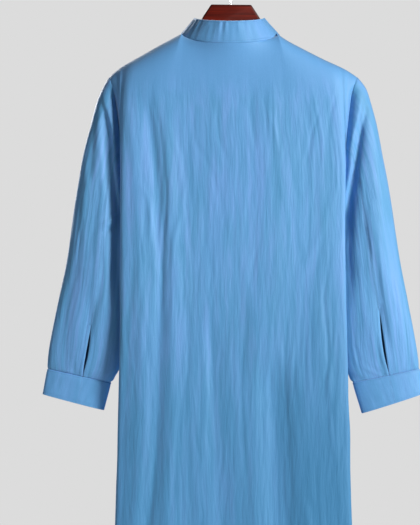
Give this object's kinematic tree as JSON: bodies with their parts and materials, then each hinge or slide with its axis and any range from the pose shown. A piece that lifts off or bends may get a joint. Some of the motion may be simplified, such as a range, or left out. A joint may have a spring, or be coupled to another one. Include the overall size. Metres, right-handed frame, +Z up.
{
  "type": "nightshirt on a hanger",
  "caption": "Long crinkled cotton nightshirt with band collar and cuffed long sleeves, hanging on a wooden hanger with a wire hook.",
  "frame": {"origin": "inner top of the hook's crook, where a rod carries the hanger", "axes": "+Z up, -Y the way the garment's back faces, +Y the way its front faces, +X on the right of someone who looks at the back"},
  "size_m": [0.7128, 0.1202, 1.2728],
  "materials": {
    "cotton": "crinkled plain-weave cotton, matt with a faint sheen",
    "button": "moulded resin, polished",
    "wood": "red-brown stained wood under clear lacquer",
    "hook": "plated steel wire"
  },
  "bodies": {
    "root": {"back": "cotton", "front": "cotton", "collar": "cotton", "sleeve_left": "cotton", "sleeve_right": "cotton", "cuff_left": "cotton", "cuff_right": "cotton", "placket_over": "cotton", "placket_under": "cotton", "button_collar": "button", "button_1": "button", "button_2": "button", "button_3": "button", "hanger_wood": "wood", "hanger_hook": "hook"}
  },
  "joints": []
}
